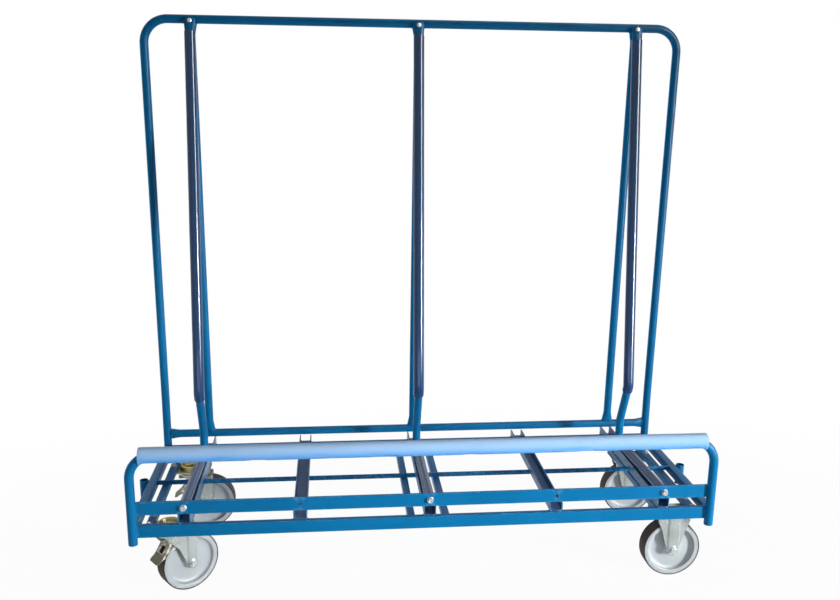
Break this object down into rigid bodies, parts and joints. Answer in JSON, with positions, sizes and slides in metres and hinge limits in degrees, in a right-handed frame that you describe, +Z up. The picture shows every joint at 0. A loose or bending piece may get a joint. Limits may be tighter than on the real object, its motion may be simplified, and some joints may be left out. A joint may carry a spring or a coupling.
{
  "type": "sheet goods cart",
  "caption": "Long tube-frame cart for sheet goods stood on edge, with leaning sleeved struts, a foam-covered front guard, rigid casters at one end and braked swivel casters at the other.",
  "frame": {"origin": "on the floor under the middle of the cart's bounding box", "axes": "+X along the length, towards the end with the rigid casters; +Y from the foam guard to the tall rear hoop; +Z up"},
  "size_m": [2.0004, 0.694, 1.884],
  "materials": {
    "blue_paint": "semi-gloss blue coating on steel",
    "sleeve_plastic": "glossy dark indigo sleeve",
    "guard_foam": "pale blue closed-cell foam",
    "zinc_plate": "clear zinc plating on pressed steel",
    "yellow_zinc": "yellow zinc plating on pressed steel",
    "wheel_grey": "pale grey moulded wheel centre",
    "tyre_tread": "dark brown-black tread"
  },
  "bodies": {
    "frame": {"axle_front_right": "zinc_plate", "axle_rear_right": "zinc_plate", "carrier_centre": "blue_paint", "carrier_left": "blue_paint", "carrier_right": "blue_paint", "deck_channel_left": "blue_paint", "deck_channel_right": "blue_paint", "deck_sleeve_centre": "sleeve_plastic", "deck_sleeve_left": "sleeve_plastic", "deck_sleeve_right": "sleeve_plastic", "foam_sleeve": "guard_foam", "fork_front_right": "zinc_plate", "fork_rear_right": "zinc_plate", "front_hoop": "blue_paint", "front_rail": "blue_paint", "kick_bar": "blue_paint", "kick_bolt_centre": "zinc_plate", "kick_bolt_left": "zinc_plate", "kick_bolt_right": "zinc_plate", "lower_bar_centre_a": "blue_paint", "lower_bar_centre_b": "blue_paint", "lower_bar_left_a": "blue_paint", "lower_bar_left_b": "blue_paint", "lower_bar_right_a": "blue_paint", "lower_bar_right_b": "blue_paint", "main_bar_centre": "blue_paint", "main_bar_left": "blue_paint", "main_bar_right": "blue_paint", "mid_bar": "blue_paint", "rear_hoop": "blue_paint", "rear_low_tube": "blue_paint", "rear_rail": "blue_paint", "rear_upright_centre": "blue_paint", "rear_upright_left": "blue_paint", "rear_upright_right": "blue_paint", "side_rail_left": "blue_paint", "side_rail_right": "blue_paint", "stake_socket_left": "blue_paint", "stake_socket_right": "blue_paint", "strut_sleeve_centre": "sleeve_plastic", "strut_sleeve_left": "sleeve_plastic", "strut_sleeve_right": "sleeve_plastic", "swivel_plate_front_left": "yellow_zinc", "swivel_plate_rear_left": "yellow_zinc"},
    "wheel_front_right": {"rim_front_right": "wheel_grey", "tyre_front_right": "tyre_tread"},
    "swivel_front_left": {"fork_front_left": "zinc_plate", "axle_front_left": "zinc_plate"},
    "wheel_front_left": {"rim_front_left": "wheel_grey", "tyre_front_left": "tyre_tread"},
    "pedal_front_left": {"brake_pedal_front_left": "yellow_zinc"},
    "wheel_rear_right": {"rim_rear_right": "wheel_grey", "tyre_rear_right": "tyre_tread"},
    "swivel_rear_left": {"fork_rear_left": "zinc_plate", "axle_rear_left": "zinc_plate"},
    "wheel_rear_left": {"rim_rear_left": "wheel_grey", "tyre_rear_left": "tyre_tread"},
    "pedal_rear_left": {"brake_pedal_rear_left": "yellow_zinc"}
  },
  "joints": [
    {"name": "wheel_front_right_spin", "type": "hinge", "parent": "frame", "child": "wheel_front_right", "pos_m": [0.852, -0.254, 0.1], "axis": [0, 1, 0], "continuous": true},
    {"name": "wheel_rear_right_spin", "type": "hinge", "parent": "frame", "child": "wheel_rear_right", "pos_m": [0.852, 0.215, 0.1], "axis": [0, 1, 0], "continuous": true},
    {"name": "swivel_front_left_turn", "type": "hinge", "parent": "frame", "child": "swivel_front_left", "pos_m": [-0.852, -0.254, 0.212], "axis": [0, 0, 1], "continuous": true},
    {"name": "wheel_front_left_spin", "type": "hinge", "parent": "swivel_front_left", "child": "wheel_front_left", "pos_m": [-0.80346, -0.21873, 0.1], "axis": [-0.5878, 0.809, 0], "continuous": true},
    {"name": "pedal_front_left_press", "type": "hinge", "parent": "swivel_front_left", "child": "pedal_front_left", "pos_m": [-0.86333, -0.26223, 0.195], "axis": [0.5878, -0.809, 0], "range_deg": [0, 7]},
    {"name": "swivel_rear_left_turn", "type": "hinge", "parent": "frame", "child": "swivel_rear_left", "pos_m": [-0.852, 0.215, 0.212], "axis": [0, 0, 1], "continuous": true},
    {"name": "wheel_rear_left_spin", "type": "hinge", "parent": "swivel_rear_left", "child": "wheel_rear_left", "pos_m": [-0.79215, 0.21918, 0.1], "axis": [-0.0698, 0.9976, 0], "continuous": true},
    {"name": "pedal_rear_left_press", "type": "hinge", "parent": "swivel_rear_left", "child": "pedal_rear_left", "pos_m": [-0.86597, 0.21402, 0.195], "axis": [0.0698, -0.9976, 0], "range_deg": [0, 7]}
  ]
}
